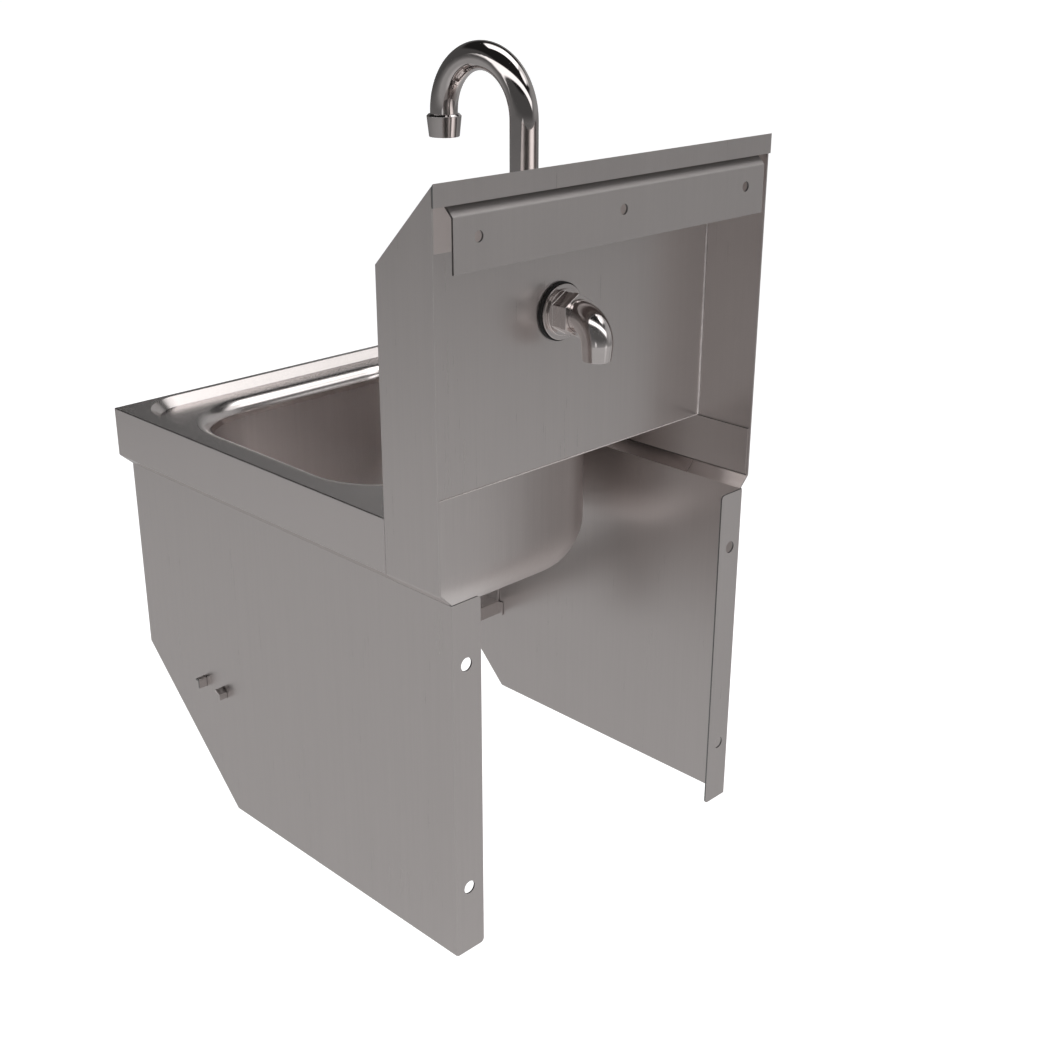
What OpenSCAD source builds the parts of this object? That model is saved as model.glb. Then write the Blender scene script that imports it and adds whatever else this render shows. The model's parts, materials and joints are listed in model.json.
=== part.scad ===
/* [Overall] */
// Outside width of the deck, left to right
sink_w = 304.8; // [280:1:340]
// Front apron face to the wall
sink_d = 367; // [350:1:400]
// Rim height above the bottom edge of the side panels
rim_z = 304.4; // [295:0.5:330]
// Thickness of the sink sheet
sheet_t = 1.2; // [0.8:0.1:1.6]

/* [Deck and aprons] */
// Height of the plain face of the aprons
apron_h = 37.1; // [30:0.5:50]
// How far the turned-in lip runs inward and down at forty-five degrees
lip_run = 8; // [5:0.5:10]
// Width of the front rim
front_rim = 5.5; // [5:0.5:14]
// Width of the side rims
side_rim = 12.9; // [10:0.1:18]
// Width of the rear rim in front of the backsplash
rear_rim = 12.6; // [8:0.1:14]
// Plan radius of the recess corners at the rim
recess_r = 35; // [20:1:45]
// How far the inner deck lies below the rim
recess_h = 6.35; // [3:0.05:8]

/* [Backsplash] */
// Depth of the backsplash from the wall
splash_d = 51.4; // [46:0.2:60]
// Height at which the backsplash leans back
splash_bend_z = 461; // [440:1:480]
// Height of the rear hanging flange, down from the top of the backsplash
hang_flange_h = 13.2; // [10:0.1:16]
// Gap between the flange and the end caps
cap_gap = 0.4; // [0.2:0.1:1]
// Open seam where two welded sheets meet
seam = 0.1; // [0.05:0.05:0.3]
// Diameter of the faucet hole in the backsplash
faucet_hole_d = 22.2; // [21.5:0.1:26]
// Height of the strips that back the aprons and end caps
backing_h = 35; // [20:1:35]
// Distance of the backing strips from the wall
backing_wall_gap = 3; // [2:0.5:10]

/* [Bowl] */
// Half width of the bowl opening where the rolled edge starts
bowl_half_w = 127.5; // [115:0.5:130]
// Front of the bowl opening, measured from the front apron
bowl_front_gap = 26; // [20:0.5:40]
// Rear of the bowl opening, measured from the wall
bowl_rear_gap = 93; // [84:0.5:110]
// Plan radius of the bowl opening corners
bowl_corner_r = 66; // [60:0.5:72]
// Radius of the rolled edge
bowl_roll_r = 11; // [6:0.5:12]
// Depth of the bowl below the inner deck
bowl_h = 125; // [110:1:150]
// Inside radius between wall and bottom
bowl_foot_r = 46; // [30:1:48]

/* [Side panels] */
// Inset of the panel face from the apron face
panel_inset = 8; // [7:0.5:9]
// Distance of the panel front edge behind the front apron
panel_front_gap = 5.1; // [3:0.1:8]
// Height of the front corner where the slanted edge starts
panel_slant_z = 108.4; // [80:1:140]
// Length of the bottom edge, measured from the wall
panel_foot_l = 253.9; // [225:1:280]
// Width of the wall flange
panel_flange_w = 24.2; // [20:0.2:30]
// Corner radius of the wall flange
panel_flange_r = 3; // [1:0.5:6]
// Distance of the flange holes from the panel face
flange_hole_in = 11.7; // [9:0.1:14]
// Height of the lower flange holes
flange_hole_low_z = 50.2; // [30:1:80]
// Distance of the upper flange holes below the top of the panels
flange_hole_down = 43.3; // [25:0.1:80]
// Diameter of the wall holes
wall_hole_d = 9.2; // [6:0.1:11]

/* [Cross brace] */
// Height of the top face of the brace
brace_z = 84; // [60:1:86]
// Depth of the brace, front to rear
brace_d = 43.5; // [40:0.5:55]
// Distance of the brace rear face from the wall
brace_wall_gap = 256.5; // [245:0.5:262]
// Height of the front and rear flanges of the brace
brace_flange_h = 12.5; // [8:0.5:20]
// Height of the end flanges above the top face
brace_end_h = 22.5; // [21:0.5:30]
// Play between the brace and the panels
brace_play = 0.3; // [0.2:0.1:1]
// Width of the small ears at the rear of the end flanges
ear_w = 5; // [3:0.5:8]
// How far the hook tabs stand out of the panels
hook_out = 7; // [4:0.5:10]
// Depth of the rear hook tab
rear_hook_w = 5.8; // [4:0.1:8]
// Depth of the front hook tab
front_hook_w = 4.4; // [2.5:0.1:6]
// Height of the hook tabs
hook_h = 7.4; // [5:0.1:9]
// Fall of the slanted top of the rear hook tab
hook_slant = 3.2; // [0:0.1:4]
// Front hook position ahead of the brace rear face
front_hook_y = 27; // [20:0.5:33]
// Drop of the hook tabs below the top of the end flanges
hook_drop = 2; // [1:0.1:5]

/* [Wall hanger] */
// Thickness of the wall hanger
hanger_t = 1.5; // [1.2:0.1:2]
// Length of the wall hanger
hanger_l = 284.3; // [240:1:290]
// Sideways offset of the wall hanger
hanger_x = -4; // [-5:0.5:5]
// Drop of the lower edge of the wall hanger below the top of the backsplash
hanger_drop = 52.1; // [50:0.1:70]
// Height of the upright part of the wall hanger
hanger_h = 32.2; // [28:0.2:34]
// Gap between the edge of the hanger and the sloped sheet that rests on it
hanger_gap = 0.25; // [0.1:0.05:0.5]
// Distance of the outer hanger holes from its ends
hanger_hole_in = 19.55; // [10:0.05:40]
// Height of the hanger holes above its lower edge
hanger_hole_z = 19.5; // [12:0.5:22]
// Diameter of the hanger holes
hanger_hole_d = 6.8; // [5:0.1:11]

/* [Faucet] */
// Height of the faucet axis
faucet_z = 408; // [390:1:420]
// Distance of the spout pipe from the wall
spout_wall_gap = 83.2; // [80:0.2:92]
// Diameter of the spout pipe
spout_d = 18.8; // [18:0.1:19.2]
// Wall of the spout pipe
spout_wall = 1.25; // [0.8:0.05:2]
// Reach of the spout from pipe to outlet
spout_reach = 76.2; // [60:1:110]
// Height of the centre of the spout arch
arch_z = 525.6; // [490:0.1:560]
// Length of the straight pipe below the arch on the outlet side
outlet_leg = 10; // [8.5:0.5:30]
// Diameter of the threaded shank
shank_d = 20.6; // [19:0.1:21]
// Diameter of the water way
water_d = 12; // [8:0.5:14]
// Diameter of the cast body
body_d = 30; // [29:0.5:36]
// Diameter of the horizontal arm of the body
arm_d = 26; // [23:0.5:28]
// Diameter of the front escutcheon
escutcheon_d = 52; // [44:1:60]
// Thickness of the escutcheon
escutcheon_t = 5; // [3:0.5:7]
// Thickness of the front gasket
gasket_t = 1; // [0.6:0.1:2]
// Diameter of the rear rubber washer
rubber_d = 39; // [32:0.5:44]
// Thickness of the rear rubber washer
rubber_t = 2; // [1:0.1:3]
// Diameter of the rear steel washer
washer_d = 37; // [32:0.5:42]
// Thickness of the rear steel washer
washer_t = 1.8; // [1:0.1:3]
// Width across flats of the rear nuts
nut_flats = 25.4; // [24:0.1:30]
// Thickness of the rear locknut
locknut_t = 9.2; // [6:0.1:10]
// Thickness of the coupling nut of the supply elbow
coupling_t = 4.4; // [3:0.1:6]
// Diameter of the round flange of the locknut
locknut_flange_d = 31; // [29.5:0.5:34]
// Thickness of the round flange of the locknut
locknut_flange_t = 1.5; // [1:0.1:3]
// Outside diameter of the supply elbow at the bend
elbow_d = 21; // [19:0.1:22]
// Outside diameter of the supply elbow at its lower end
elbow_end_d = 18.8; // [17:0.1:19]
// Bend radius of the supply elbow
elbow_bend_r = 16; // [12:0.5:18]
// Distance of the elbow outlet axis behind the face of the backsplash
elbow_back = 34.9; // [33:0.1:38]
// Height of the lower end of the supply elbow
elbow_end_z = 381.5; // [370:0.5:385]

/* [Spout joint] */
// Height of the swivel seat above the faucet axis
swivel_up = 22; // [20:0.5:30]
// Diameter of the swivel spigot
spigot_d = 21; // [20.6:0.1:22]
// Length of the swivel spigot
spigot_l = 18; // [16:0.5:18]
// Diameter of the collar of the spigot
collar_d = 24.6; // [23.5:0.1:25]
// Thickness of the collar
collar_t = 3; // [2:0.1:4]
// Diameter of the threaded nose of the body
nose_d = 27; // [26:0.1:28]
// Step from the top of the arm up to the foot of the threaded nose
nose_step = 1; // [0.5:0.1:3]
// Width across flats of the bonnet nut
bonnet_flats = 31; // [30.5:0.1:34]
// Thickness of the top of the bonnet nut
bonnet_top_t = 4; // [2:0.5:6]
// Thread diameter of the rubber seals
seal_d = 1.6; // [1.2:0.1:1.8]
// Running play of the swivel
swivel_play = 0.3; // [0.3:0.05:0.4]

/* [Outlet] */
// Upper diameter of the outlet shell
outlet_top_d = 23.8; // [23:0.1:28]
// Lower diameter of the outlet shell
outlet_low_d = 20.8; // [20.6:0.1:26]
// Height of the outlet shell
outlet_h = 15; // [13:0.5:20]
// Height of the small chamfer on top of the outlet shell
outlet_rim_h = 1.4; // [0.6:0.1:2]
// Diameter of the aerator insert
insert_d = 17.4; // [16:0.1:18]
// Height of the aerator insert
insert_h = 4; // [3:0.1:5]
// Thickness of the outlet washer
outlet_washer_t = 1.5; // [1:0.1:2]
// Diameter of the small holes in the insert
insert_hole_d = 1.8; // [1:0.1:2.2]

/* [Drain] */
// Diameter of the drain hole in the bowl
drain_hole_d = 48; // [46:0.5:52]
// Diameter of the drain flange
drain_flange_d = 66; // [60:1:76]
// Thickness of the drain flange
drain_flange_t = 2; // [1.5:0.1:3]
// Outside diameter of the drain cup
drain_cup_d = 46.4; // [44:0.2:47]
// Wall of the drain cup
drain_wall = 1.6; // [1.2:0.1:2.4]
// Depth of the drain cup below the bowl
drain_cup_h = 30; // [26:1:40]
// Diameter of the drain outlet and tailpiece
tail_d = 38.1; // [34:0.1:38.4]
// Length of the threaded outlet below the cup
drain_spigot_h = 14; // [10:1:20]
// Wall of the tailpiece
tail_wall = 1.2; // [0.8:0.1:2]
// Length of the tailpiece
tail_l = 70; // [40:5:100]
// Thickness of the rubber washer below the bowl
drain_rubber_t = 3; // [2:0.5:5]
// Thickness of the card washer below the bowl
drain_card_t = 1; // [0.5:0.1:2]
// Width across flats of the drain locknut
drain_nut_flats = 60; // [56:1:66]
// Thickness of the drain locknut
drain_nut_t = 8; // [6:0.5:12]
// Outside diameter of the slip nut
slip_nut_d = 50; // [48:0.5:56]
// Height of the slip nut
slip_nut_h = 16; // [14:0.5:20]
// Thickness of the slip washer
slip_washer_t = 3; // [2:0.5:4]

/* [Strainer basket] */
// Play between the basket and the drain cup
basket_play = 0.4; // [0.3:0.05:1]
// Wall of the basket
basket_wall = 1; // [0.8:0.1:1.5]
// Depth of the basket
basket_h = 18; // [12:1:22]
// Diameter of the holes in the basket
basket_hole_d = 3.2; // [2:0.2:4]
// Diameter of the basket stem
stem_d = 4; // [3:0.2:6]
// Height of the basket knob above the bottom of the bowl
knob_z = 9; // [6:0.5:14]
// Diameter of the basket knob
knob_d = 11; // [8:0.5:14]

/* [Hidden] */
$fn = 96;

// Extra length of every cutting body
over = 1;
// How much smaller a covered piece is than the piece over it
step_in = 1;
half = 0.5;
right_angle = 90;
half_turn = 180;
diag = sqrt(2);
// Share of the sheet by which a forty-five degree bend shortens the inner face
bend_share = diag - 1;

steel = [0.62, 0.61, 0.6];
polished = [0.8, 0.8, 0.82];
brass = [0.8, 0.65, 0.3];
rubber = [0.1, 0.1, 0.1];
card = [0.7, 0.6, 0.45];
plastic = [0.85, 0.85, 0.83];

half_w = sink_w * half;
// Deck width for which the bowl and hanger sizes are given; both follow the deck from there
drawn_w = 304.8;
bowl_x = bowl_half_w + (sink_w - drawn_w) * half;
hanger_half_l = (hanger_l + sink_w - drawn_w) * half;
apron_z = rim_z - apron_h;
lip_z = apron_z - lip_run;
inner_z = rim_z - recess_h;
splash_y = -splash_d;
splash_back_y = splash_y + sheet_t;
splash_top_z = splash_bend_z + splash_d;
splash_half_w = half_w - sheet_t - seam;
hang_flange_z = splash_top_z - hang_flange_h;
hanger_z = splash_top_z - hanger_drop;
cap_y = splash_y + seam;
cap_rear_y = -sheet_t - cap_gap;
flange_hole_high_z = lip_z - flange_hole_down;
hub_z = (flange_hole_low_z + flange_hole_high_z) * half;

recess_half_w = half_w - side_rim;
recess_front_y = front_rim - sink_d;
recess_rear_y = splash_y - rear_rim;

bowl_front_y = bowl_front_gap - sink_d;
bowl_rear_y = -bowl_rear_gap;
bowl_wall_r = bowl_corner_r - bowl_roll_r;
bowl_flat_r = bowl_wall_r - bowl_foot_r;
drain_y = (bowl_front_y + bowl_rear_y) * half;
bowl_floor_z = inner_z - bowl_h;
bowl_under_z = bowl_floor_z - sheet_t;

panel_x = half_w - panel_inset;
panel_in_x = panel_x - sheet_t;
flange_hole_x = panel_x - flange_hole_in;
brace_half_l = panel_in_x - brace_play;
brace_rear_y = -brace_wall_gap;
brace_front_y = brace_rear_y - brace_d;
hook_z = brace_z + brace_end_h - hook_drop - hook_h;
front_hook_rear_y = brace_rear_y - front_hook_y;

// Puts the height origin at the centre of the four wall flange holes
module at_hub() {
    translate([0, 0, -hub_z]) children();
}

// Box between two opposite corners
module span(low, high) {
    translate(low) cube(high - low);
}

// Outline in the plane across the sink, drawn as depth and height, pulled along the width
module across(x_low, x_high) {
    translate([x_low, 0, 0])
        rotate([right_angle, 0, right_angle])
            linear_extrude(height = x_high - x_low)
                children();
}

// Round bar along the depth, from one depth to the other, at a given height
module bar_y(y_low, y_high, z, d) {
    translate([0, y_low, z])
        rotate([-right_angle, 0, 0])
            cylinder(d = d, h = y_high - y_low);
}

// Six-sided bar along the depth with two upright flats
module hex_y(y_low, y_high, z, flats) {
    translate([0, y_low, z])
        rotate([-right_angle, 0, 0])
            rotate([0, 0, right_angle])
                cylinder(d = flats / cos(half_turn / 6), h = y_high - y_low, $fn = 6);
}

// Rounded outline of an opening in the deck
module opening(half_x, y_front, y_rear, r) {
    translate([-half_x, y_front + r]) square([half_x * 2, y_rear - y_front - r * 2]);
    translate([r - half_x, y_front]) square([(half_x - r) * 2, y_rear - y_front]);
    for (x = [r - half_x, half_x - r], y = [y_front + r, y_rear - r])
        translate([x, y]) circle(r = r);
}

// Carries an upright profile round a rounded outline; the profile starts at the corner axis
module around(half_x, y_front, y_rear, r) {
    long_x = (half_x - r) * 2;
    long_y = y_rear - y_front - r * 2;
    for (side = [0, 1]) mirror([side, 0, 0]) {
        translate([half_x - r, y_rear - r, 0])
            rotate_extrude(angle = right_angle) children();
        translate([half_x - r, y_front + r, 0])
            rotate([0, 0, -right_angle])
                rotate_extrude(angle = right_angle) children();
        translate([half_x - r, y_rear - r, 0])
            rotate([right_angle, 0, 0])
                linear_extrude(height = long_y) children();
    }
    translate([r - half_x, y_rear - r, 0])
        rotate([right_angle, 0, right_angle])
            linear_extrude(height = long_x) children();
    translate([half_x - r, y_front + r, 0])
        rotate([right_angle, 0, -right_angle])
            linear_extrude(height = long_x) children();
}

// Section of the turned-in lip, measured from the outer face of the apron
module lip_section(top) {
    polygon([[0, top], [0, apron_z], [-lip_run, lip_z], [-lip_run - diag * sheet_t, lip_z],
             [-sheet_t, apron_z + bend_share * sheet_t], [-sheet_t, top]]);
}

// Apron with lip along one side, cut at the front corner on the mitre
module side_apron() {
    reach = lip_run * 2;
    intersection() {
        translate([half_w, splash_y, 0])
            rotate([right_angle, 0, 0])
                linear_extrude(height = sink_d + splash_y) lip_section(rim_z);
        translate([0, 0, lip_z])
            linear_extrude(height = rim_z - lip_z)
                polygon([[half_w, -sink_d], [half_w, splash_y], [half_w - reach, splash_y],
                         [half_w - reach, reach - sink_d]]);
    }
}

// Front apron with lip, cut at both corners on the mitre
module front_apron() {
    reach = lip_run * 2;
    intersection() {
        translate([half_w, -sink_d, 0])
            rotate([right_angle, 0, -right_angle])
                linear_extrude(height = sink_w) lip_section(rim_z);
        translate([0, 0, lip_z])
            linear_extrude(height = rim_z - lip_z)
                polygon([[-half_w, -sink_d], [half_w, -sink_d], [half_w - reach, reach - sink_d],
                         [reach - half_w, reach - sink_d]]);
    }
}

// Rim, sloped recess edge and inner deck with the bowl opening
module deck_plates() {
    recess_low_r = recess_r - recess_h;
    translate([0, 0, rim_z - sheet_t])
        linear_extrude(height = sheet_t)
            difference() {
                translate([-half_w, -sink_d]) square([sink_w, sink_d + splash_y]);
                opening(recess_half_w, recess_front_y, recess_rear_y, recess_r);
            }
    around(recess_half_w, recess_front_y, recess_rear_y, recess_r)
        polygon([[recess_r + sheet_t, rim_z], [recess_r, rim_z], [recess_low_r, inner_z],
                 [recess_low_r - sheet_t, inner_z], [recess_low_r - sheet_t, inner_z - sheet_t],
                 [recess_low_r + bend_share * sheet_t, inner_z - sheet_t],
                 [recess_r + bend_share * sheet_t, rim_z - sheet_t], [recess_r + sheet_t, rim_z - sheet_t]]);
    translate([0, 0, inner_z - sheet_t])
        linear_extrude(height = sheet_t)
            difference() {
                opening(recess_half_w - recess_h, recess_front_y + recess_h,
                        recess_rear_y - recess_h, recess_low_r);
                opening(bowl_x + seam, bowl_front_y - seam, bowl_rear_y + seam, bowl_corner_r + seam);
            }
}

// Folded sheet of the backsplash with its hanging flange
module backsplash_fold() {
    across(-splash_half_w, splash_half_w)
        polygon([[splash_y, rim_z - sheet_t], [splash_y, splash_bend_z], [0, splash_top_z],
                 [0, hang_flange_z], [-sheet_t, hang_flange_z],
                 [-sheet_t, splash_top_z - (1 + diag) * sheet_t],
                 [splash_back_y, splash_bend_z - bend_share * sheet_t],
                 [splash_back_y, rim_z - sheet_t]]);
    across(-half_w, half_w)
        polygon([[-sheet_t, hang_flange_z], [0, hang_flange_z], [0, splash_top_z],
                 [-sheet_t, splash_top_z - sheet_t]]);
}

module sink_top() {
    color(steel) at_hub() {
        deck_plates();
        side_apron();
        mirror([1, 0, 0]) side_apron();
        front_apron();
    }
}

module backsplash() {
    color(steel) at_hub() difference() {
        backsplash_fold();
        bar_y(splash_y - over, splash_back_y + over, faucet_z, faucet_hole_d);
    }
}

// Quarter of a ring of sheet, in the quadrant given by two signs
module quarter_ring(r_out, r_in, sx, sy) {
    difference() {
        intersection() {
            circle(r = r_out);
            translate([min(0, sx) * r_out, min(0, sy) * r_out]) square(r_out);
        }
        circle(r = r_in);
    }
}

// Part of the bowl that goes round the outline of its opening
module bowl_ring() {
    around(bowl_x, bowl_front_y, bowl_rear_y, bowl_corner_r) children();
}

// Rolled edge that the bowl hangs by
module bowl_edge() {
    color(steel) at_hub() bowl_ring()
        translate([bowl_corner_r, inner_z - bowl_roll_r])
            quarter_ring(bowl_roll_r, bowl_roll_r - sheet_t, -1, 1);
}

module bowl_wall() {
    color(steel) at_hub() bowl_ring()
        translate([bowl_wall_r, bowl_floor_z + bowl_foot_r])
            square([sheet_t, bowl_h - bowl_roll_r - bowl_foot_r]);
}

module bowl_bottom() {
    flat_x = (bowl_x - bowl_corner_r) * 2;
    flat_y = bowl_rear_y - bowl_front_y - bowl_corner_r * 2;
    color(steel) at_hub() difference() {
        union() {
            bowl_ring() {
                translate([bowl_flat_r, bowl_floor_z + bowl_foot_r])
                    quarter_ring(bowl_foot_r + sheet_t, bowl_foot_r, 1, -1);
                translate([0, bowl_under_z]) square([bowl_flat_r, sheet_t]);
            }
            translate([-flat_x * half, bowl_front_y + bowl_corner_r, bowl_under_z])
                cube([flat_x, flat_y, sheet_t]);
        }
        translate([0, drain_y, bowl_under_z - over])
            cylinder(d = drain_hole_d, h = sheet_t + over * 2);
    }
}

module end_cap() {
    color(steel) at_hub() {
        across(half_w - sheet_t, half_w)
            polygon([[cap_y, apron_z + bend_share * sheet_t], [cap_y, splash_bend_z + seam],
                     [cap_rear_y, splash_top_z + cap_rear_y],
                     [cap_rear_y, apron_z + bend_share * sheet_t]]);
        translate([half_w, cap_rear_y, 0])
            rotate([right_angle, 0, 0])
                linear_extrude(height = cap_rear_y - cap_y)
                    lip_section(apron_z + bend_share * sheet_t);
    }
}

module end_cap_right() {
    end_cap();
}

module end_cap_left() {
    mirror([1, 0, 0]) end_cap();
}

module backing_strip() {
    low_z = rim_z - sheet_t - backing_h;
    color(steel) at_hub()
        span([half_w - sheet_t * 2, sheet_t + seam - sink_d, low_z],
             [half_w - sheet_t, -backing_wall_gap, low_z + backing_h]);
}

module backing_strip_right() {
    backing_strip();
}

module backing_strip_left() {
    mirror([1, 0, 0]) backing_strip();
}

// Wall flange outline, inner corners rounded, drawn as width and height
module flange_outline() {
    in_x = panel_x - panel_flange_w;
    translate([in_x, panel_flange_r]) square([panel_flange_w, lip_z - panel_flange_r * 2]);
    translate([in_x + panel_flange_r, 0]) square([panel_flange_w - panel_flange_r, lip_z]);
    for (z = [panel_flange_r, lip_z - panel_flange_r])
        translate([in_x + panel_flange_r, z]) circle(r = panel_flange_r);
}

// Bent sheet of a hook tab, drawn as depth and height: a top that falls to the rear, and an upright
module hook_outline(y, w, fall) {
    high = hook_z + hook_h;
    polygon([[y - w, high], [y, high - fall], [y, hook_z], [y - sheet_t, hook_z],
             [y - sheet_t, high - fall - sheet_t], [y - w, high - sheet_t * diag]]);
}

// Slot for a hook tab, grown by the play
module hook_slot(y, w) {
    across(panel_in_x - over, panel_x + over)
        translate([y - w - brace_play, hook_z - brace_play])
            square([w + brace_play * 2, hook_h + brace_play * 2]);
}

module side_panel() {
    color(steel) at_hub() difference() {
        union() {
            across(panel_in_x, panel_x)
                polygon([[panel_front_gap - sink_d, lip_z], [panel_front_gap - sink_d, panel_slant_z],
                         [-panel_foot_l, 0], [0, 0], [0, lip_z]]);
            rotate([right_angle, 0, 0]) linear_extrude(height = sheet_t) flange_outline();
        }
        for (z = [flange_hole_low_z, flange_hole_high_z])
            translate([flange_hole_x, 0, 0]) bar_y(-sheet_t - over, over, z, wall_hole_d);
        hook_slot(brace_rear_y, rear_hook_w);
        hook_slot(front_hook_rear_y, front_hook_w);
    }
}

module side_panel_right() {
    side_panel();
}

module side_panel_left() {
    mirror([1, 0, 0]) side_panel();
}

module cross_brace() {
    low_z = brace_z - brace_flange_h;
    color(steel) at_hub() {
        span([-brace_half_l, brace_front_y, brace_z - sheet_t], [brace_half_l, brace_rear_y, brace_z]);
        span([-brace_half_l, brace_rear_y - sheet_t, low_z], [brace_half_l, brace_rear_y, brace_z - sheet_t]);
        span([-brace_half_l, brace_front_y, low_z],
             [brace_half_l, brace_front_y + sheet_t, brace_z - sheet_t]);
        for (side = [0, 1]) mirror([side, 0, 0]) {
            span([brace_half_l - sheet_t, brace_front_y, brace_z],
                 [brace_half_l, brace_rear_y, brace_z + brace_end_h]);
            span([brace_half_l - sheet_t, brace_rear_y, low_z],
                 [brace_half_l, brace_rear_y + ear_w, brace_z]);
            across(brace_half_l, panel_x + hook_out) {
                hook_outline(brace_rear_y, rear_hook_w, hook_slant);
                hook_outline(front_hook_rear_y, front_hook_w, 0);
            }
        }
    }
}

module wall_hanger() {
    bend_z = hanger_z + hanger_h;
    hook_run = (splash_top_z - diag * sheet_t - bend_z) * half - hanger_gap / diag;
    hook_y = -hook_run;
    slant = hanger_t / diag;
    color(steel) at_hub() difference() {
        across(hanger_x - hanger_half_l, hanger_x + hanger_half_l)
            polygon([[0, hanger_z], [0, bend_z], [hook_y, bend_z + hook_run],
                     [hook_y - slant, bend_z + hook_run - slant],
                     [-hanger_t, bend_z - bend_share * hanger_t], [-hanger_t, hanger_z]]);
        for (i = [-1, 0, 1])
            translate([hanger_x + i * (hanger_half_l - hanger_hole_in), 0, 0])
                bar_y(-hanger_t - over, over, hanger_z + hanger_hole_z, hanger_hole_d);
    }
}

// Depths of the faucet pieces along the shank, from the bowl side to the wall
gasket_y = splash_y - gasket_t;
escutcheon_y = gasket_y - escutcheon_t;
rubber_y = splash_back_y + rubber_t;
steel_washer_y = rubber_y + washer_t;
locknut_y = steel_washer_y + locknut_t;
coupling_y = locknut_y + coupling_t;
bore_play = 0.2;
shank_bore_d = shank_d + bore_play * 2;
spout_y = -spout_wall_gap;
elbow_y = splash_y + elbow_back;
// Wall of the faucet body round the swivel bore
seat_z = faucet_z + swivel_up;
nose_low_z = faucet_z + arm_d * half + nose_step;
spigot_low_z = seat_z + swivel_play - spigot_l;
swivel_bore_d = spigot_d + swivel_play * 2;
elbow_bore_d = 13;
collar_top_z = seat_z + swivel_play + collar_t;
seal_t = 1.5;

module faucet_gasket() {
    color(rubber) at_hub() difference() {
        bar_y(gasket_y, splash_y, faucet_z, escutcheon_d - step_in);
        bar_y(gasket_y - over, splash_y + over, faucet_z, shank_bore_d);
    }
}

// Round plate with a domed front
module escutcheon() {
    rim_t = escutcheon_t * half;
    color(polished) at_hub() difference() {
        translate([0, gasket_y, faucet_z])
            rotate([right_angle, 0, 0]) {
                cylinder(d = escutcheon_d, h = rim_t);
                translate([0, 0, rim_t])
                    cylinder(d1 = escutcheon_d, d2 = arm_d + escutcheon_t * 2, h = escutcheon_t - rim_t);
            }
        bar_y(escutcheon_y - over, gasket_y + over, faucet_z, shank_bore_d);
    }
}

module faucet_body() {
    foot_z = faucet_z - body_d * half;
    foot_r = body_d / 4;
    color(polished) at_hub() difference() {
        union() {
            bar_y(spout_y, escutcheon_y, faucet_z, arm_d);
            bar_y(escutcheon_y, locknut_y, faucet_z, shank_d);
            translate([0, spout_y, 0]) {
                translate([0, 0, foot_z + foot_r]) cylinder(d = body_d, h = nose_low_z - foot_z - foot_r);
                translate([0, 0, foot_z])
                    cylinder(d1 = body_d - foot_r * 2, d2 = body_d, h = foot_r);
                translate([0, 0, nose_low_z]) cylinder(d = nose_d, h = seat_z - nose_low_z);
            }
        }
        bar_y(spout_y, locknut_y + over, faucet_z, water_d);
        translate([0, spout_y, faucet_z - water_d * half])
            cylinder(d = water_d, h = water_d * 2);
        translate([0, spout_y, spigot_low_z - swivel_play])
            cylinder(d = swivel_bore_d, h = seat_z + over - spigot_low_z + swivel_play);
    }
}

module bonnet_nut() {
    low_z = nose_low_z + swivel_play;
    flange_z = collar_top_z + swivel_play;
    color(polished) at_hub() translate([0, spout_y, 0]) difference() {
        union() {
            translate([0, 0, low_z])
                cylinder(d = bonnet_flats / cos(half_turn / 6), h = flange_z - low_z, $fn = 6);
            translate([0, 0, flange_z])
                cylinder(d1 = bonnet_flats, d2 = bonnet_flats - bonnet_top_t, h = bonnet_top_t);
        }
        translate([0, 0, low_z - over])
            cylinder(d = nose_d + bore_play * 2, h = flange_z - low_z + over);
        translate([0, 0, flange_z - over])
            cylinder(d = spout_d + swivel_play * 2, h = bonnet_top_t + over * 2);
    }
}

module rear_rubber_washer() {
    color(rubber) at_hub() difference() {
        bar_y(splash_back_y, rubber_y, faucet_z, rubber_d);
        bar_y(splash_back_y - over, rubber_y + over, faucet_z, shank_bore_d);
    }
}

module rear_steel_washer() {
    color(steel) at_hub() difference() {
        bar_y(rubber_y, steel_washer_y, faucet_z, washer_d);
        bar_y(rubber_y - over, steel_washer_y + over, faucet_z, shank_bore_d);
    }
}

module shank_locknut() {
    color(polished) at_hub() difference() {
        union() {
            hex_y(steel_washer_y, locknut_y - bore_play, faucet_z, nut_flats - step_in);
            bar_y(steel_washer_y, steel_washer_y + locknut_flange_t, faucet_z, locknut_flange_d);
        }
        bar_y(steel_washer_y - over, locknut_y + over, faucet_z, shank_bore_d);
    }
}

module elbow_seal() {
    color(rubber) at_hub() difference() {
        bar_y(locknut_y, locknut_y + seal_t, faucet_z, shank_d);
        bar_y(locknut_y - over, locknut_y + seal_t + over, faucet_z, water_d);
    }
}

module coupling_nut() {
    color(polished) at_hub() difference() {
        hex_y(locknut_y, coupling_y, faucet_z, nut_flats);
        bar_y(locknut_y - over, locknut_y + seal_t, faucet_z, shank_bore_d);
        bar_y(locknut_y, coupling_y + over, faucet_z, elbow_d + bore_play);
    }
}

// Outside or core of the supply elbow; the two diameters are those of the lower end and the bend
module elbow_run(d_end, d, ends) {
    bar_y(locknut_y + seal_t - ends, elbow_y - elbow_bend_r, faucet_z, d);
    translate([0, elbow_y - elbow_bend_r, faucet_z - elbow_bend_r])
        rotate([right_angle, 0, right_angle])
            rotate_extrude(angle = right_angle)
                translate([elbow_bend_r, 0]) circle(d = d);
    translate([0, elbow_y, elbow_end_z - ends])
        cylinder(d1 = d_end, d2 = d, h = faucet_z - elbow_bend_r - elbow_end_z + ends);
}

module supply_elbow() {
    color(polished) at_hub() difference() {
        elbow_run(elbow_end_d, elbow_d, 0);
        elbow_run(elbow_bore_d, elbow_bore_d, over);
    }
}

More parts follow.
